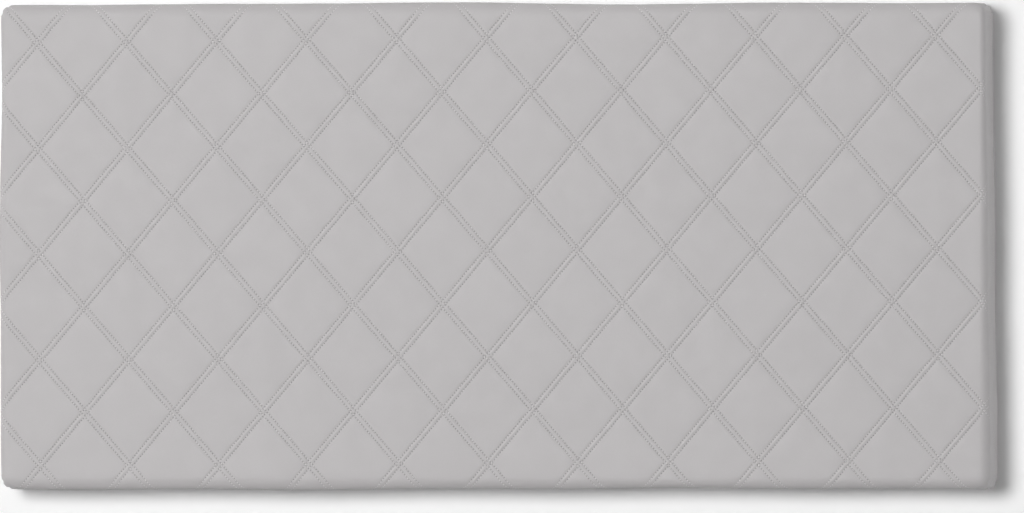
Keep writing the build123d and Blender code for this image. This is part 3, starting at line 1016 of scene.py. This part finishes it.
class HEADBOARD_OT_soft_layers(bpy.types.Operator):
    """Shape and finish the foam and the wadding inside the cover"""

    bl_idname = "headboard.soft_layers"
    bl_label = "Foam and wadding"

    def execute(self, context):
        foam = merged_copy("foam_pad")
        ease_edges(foam, 1.5 * MM, segments=3)
        made = piece("foam_slab", foam, cut_foam(), "panel", shade=False)
        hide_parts("foam_pad")
        band = merged_copy("edge_wadding")
        ease_edges(band, 0.4 * MM)
        made = piece("wadding_band", band, liner_wadding(), "panel", shade=False)
        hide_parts("edge_wadding")
        return {"FINISHED"}


class HEADBOARD_OT_timber(bpy.types.Operator):
    """Finish the pine frame, its corner blocks and the plywood face"""

    bl_idname = "headboard.timber"
    bl_label = "Timber frame"

    def execute(self, context):
        level, upright = pine("x", 0.0), pine("z", 0.4)
        for node in ("top_rail", "bottom_rail"):
            finish_node(node, level)
        for node in ["left_stile", "right_stile", *STILES]:
            finish_node(node, upright)
        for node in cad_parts:
            if node.startswith("corner_block"):
                finish_node(node, upright)
        finish_node("front_board", birch_plywood())
        return {"FINISHED"}


class HEADBOARD_OT_fittings(bpy.types.Operator):
    """Ease and finish the brackets, bumpers, screws and staples"""

    bl_idname = "headboard.fittings"
    bl_label = "Fittings"

    def execute(self, context):
        colours = settings("headboard_colours")
        extrusion = metal("bracket_aluminium", colours.aluminium, 0.0)
        plate = metal("zinc_plate", colours.zinc, 0.02, dull=0.06)
        wire = metal("staple_wire", colours.zinc, -0.04, dull=0.10)
        rubber = bumper_rubber()
        self.eased("wall_brackets", "wall_hooks", "wall_mount", "aluminium", extrusion, 0.35 * MM)
        self.eased("panel_brackets", "panel_hooks", "panel", "aluminium", extrusion, 0.35 * MM)
        self.eased("wall_bumpers", "rubber_feet", "panel", "rubber", rubber, 0.7 * MM)
        self.eased("back_staples", "cover_staples", "panel", "staple_wire", wire, 0.22 * MM)
        finish_node("bracket_screws", plate)
        finish_node("bumper_screws", plate)
        finish_node("board_staples", wire)
        return {"FINISHED"}

    def eased(self, node, name, body, slot, material, width):
        """Replaces a node by its own shape with eased edges."""
        bm = merged_copy(node)
        ease_edges(bm, width)
        made = piece(name, bm, material, body, shade=False)
        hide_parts(node)


class HEADBOARD_OT_stage(bpy.types.Operator):
    """Set up the wall, the floor, the lamps, the sky and the camera"""

    bl_idname = "headboard.stage"
    bl_label = "Stage"

    def execute(self, context):
        stage = settings("headboard_stage")
        floor_z = MIDDLE_Z - HALF_HEIGHT - stage.floor_drop
        self.wall(stage, floor_z)
        self.floor(stage, floor_z)
        self.lamps(stage)
        self.sky(stage)
        self.camera(stage)
        context.scene.view_settings.view_transform = "Standard"
        return {"FINISHED"}

    def plane(self, name, size, matrix, material):
        """A flat sheet of the stage."""
        bm = bmesh.new()
        bmesh.ops.create_grid(bm, x_segments=1, y_segments=1, size=size / 2)
        bmesh.ops.transform(bm, matrix=matrix, verts=bm.verts[:])
        mesh = bpy.data.meshes.new(name)
        bm.to_mesh(mesh)
        bm.free()
        mesh.materials.append(material)
        made = bpy.data.objects.new(name, mesh)
        bpy.context.scene.collection.objects.link(made)
        return made

    def paint(self, name, stage, glow, bounce):
        """Matt white paint that isn't there from behind. bounce is how much of its colour lights other things."""
        material = bpy.data.materials.new(name)
        material.use_nodes = True
        tree = material.node_tree
        tree.nodes.clear()
        rays = put(tree, "ShaderNodeLightPath").outputs
        seen = maths(tree, "MAXIMUM", rays["Is Camera Ray"], rays["Is Glossy Ray"])
        paint = mixed(tree, seen, rgba(stage.wall, bounce), rgba(stage.wall))
        coat = put(tree, "ShaderNodeBsdfDiffuse", {"Color": paint}).outputs[0]
        shine = put(
            tree, "ShaderNodeEmission", {"Color": (1, 1, 1, 1), "Strength": maths(tree, "MULTIPLY", seen, glow)}
        ).outputs[0]
        front = put(tree, "ShaderNodeAddShader", {0: coat, 1: shine}).outputs[0]
        clear = put(tree, "ShaderNodeBsdfTransparent").outputs[0]
        behind = put(tree, "ShaderNodeNewGeometry").outputs["Backfacing"]
        surface = put(tree, "ShaderNodeMixShader", {0: behind, 1: front, 2: clear}).outputs[0]
        put(tree, "ShaderNodeOutputMaterial", {"Surface": surface})
        return material

    def wall(self, stage, floor_z):
        upright = Matrix.Translation((0, 0.1 * MM, floor_z + STAGE_SIZE / 2)) @ Matrix.Rotation(pi / 2, 4, "X")
        made = self.plane("wall", STAGE_SIZE, upright, self.paint("wall_paint", stage, 0.01, 1.0))
        made.visible_shadow = False

    def floor(self, stage, floor_z):
        level = Matrix.Translation((0, 0, floor_z))
        self.plane("floor", STAGE_SIZE, level, self.paint("floor_paint", stage, 0.03, 0.2))

    def lamp(self, name, power, size, place, aim, size_y=None):
        """A soft area lamp that the camera doesn't see."""
        data = bpy.data.lights.new(name, "AREA")
        data.energy = power
        data.shape = "RECTANGLE" if size_y else "DISK"
        data.size = size
        if size_y:
            data.size_y = size_y
        made = bpy.data.objects.new(name, data)
        made.location = place
        made.rotation_euler = (Vector(aim) - Vector(place)).to_track_quat("-Z", "Y").to_euler()
        made.visible_camera = False
        bpy.context.scene.collection.objects.link(made)
        return made

    def lamps(self, stage):
        middle = Vector((0, FRONT_Y, MIDDLE_Z))
        self.lamp("key_lamp", stage.key, 3.6, middle + Vector((-1.9, -8.8, 1.24)), middle)
        rake = self.lamp("side_lamp", stage.side, 2.4, middle + Vector((-11.4, -6.9, 2.55)), middle)
        rake.data.use_shadow = False
        level = (FRONT_Y + REAR_Y) / 2
        self.lamp("strip_lamp", stage.strip, 0.05, (2.4, level, MIDDLE_Z), (0, level, MIDDLE_Z), 1.0)
        for name, side in (("rear_left", -1), ("rear_right", 1)):
            aim = Vector((side * 0.1, 0, MIDDLE_Z))
            self.lamp(name, stage.rear, 0.3, middle + Vector((side * 0.35, 1.8, 0.1)), aim)

    def sky(self, stage):
        """Even light from all round, which cameras see as white."""
        world = bpy.data.worlds.new("studio")
        world.use_nodes = True
        tree = world.node_tree
        tree.nodes.clear()
        rays = put(tree, "ShaderNodeLightPath").outputs
        strength = mapped(tree, rays["Is Camera Ray"], 0, 1, stage.sky, 1.0, "LINEAR")
        light = put(tree, "ShaderNodeBackground", {"Color": (1, 1, 1, 1), "Strength": strength}).outputs[0]
        put(tree, "ShaderNodeOutputWorld", {"Surface": light})
        bpy.context.scene.world = world

    def camera(self, stage):
        data = bpy.data.cameras.new("camera")
        data.lens = stage.lens
        data.sensor_width = 36.0
        data.clip_end = 2.5 * stage.distance
        made = bpy.data.objects.new("camera", data)
        back = Vector((sin(stage.yaw), -cos(stage.yaw), 0))
        aim = Vector((stage.aim_right, (FRONT_Y + REAR_Y) / 2, MIDDLE_Z - stage.aim_down))
        look = (-back).to_track_quat("-Z", "Y").to_matrix().to_4x4()
        roll = Matrix.Rotation(stage.roll, 4, "Z")
        made.matrix_world = Matrix.Translation(aim + back * stage.distance) @ look @ roll
        bpy.context.scene.collection.objects.link(made)
        bpy.context.scene.camera = made


class HEADBOARD_PT_panel(bpy.types.Panel):
    """The headboard's pieces and settings"""

    bl_idname = "HEADBOARD_PT_panel"
    bl_label = "Quilted headboard"
    bl_space_type = "VIEW_3D"
    bl_region_type = "UI"
    bl_category = "Headboard"

    def draw(self, context):
        for operator in OPERATORS:
            self.layout.operator(operator.bl_idname)
        for name, settings_group in SETTINGS.items():
            box = self.layout.box()
            for prop in settings_group.__annotations__:
                box.prop(getattr(context.scene, name), prop)


SETTINGS = {
    "headboard_quilt": QuiltSettings,
    "headboard_cover": CoverSettings,
    "headboard_colours": ColourSettings,
    "headboard_stage": StageSettings,
}
OPERATORS = (
    HEADBOARD_OT_cover,
    HEADBOARD_OT_stitching,
    HEADBOARD_OT_dust_cover,
    HEADBOARD_OT_soft_layers,
    HEADBOARD_OT_timber,
    HEADBOARD_OT_fittings,
    HEADBOARD_OT_stage,
)


def register():
    for name, group_class in SETTINGS.items():
        bpy.utils.register_class(group_class)
        setattr(bpy.types.Scene, name, PointerProperty(type=group_class))
    for operator in (*OPERATORS, HEADBOARD_PT_panel):
        bpy.utils.register_class(operator)


def unregister():
    for operator in (HEADBOARD_PT_panel, *reversed(OPERATORS)):
        bpy.utils.unregister_class(operator)
    for name, group_class in SETTINGS.items():
        delattr(bpy.types.Scene, name)
        bpy.utils.unregister_class(group_class)


def main():
    register()
    for operator in OPERATORS:
        group_name, action = operator.bl_idname.split(".")
        getattr(getattr(bpy.ops, group_name), action)()


if __name__ == "__main__":
    main()
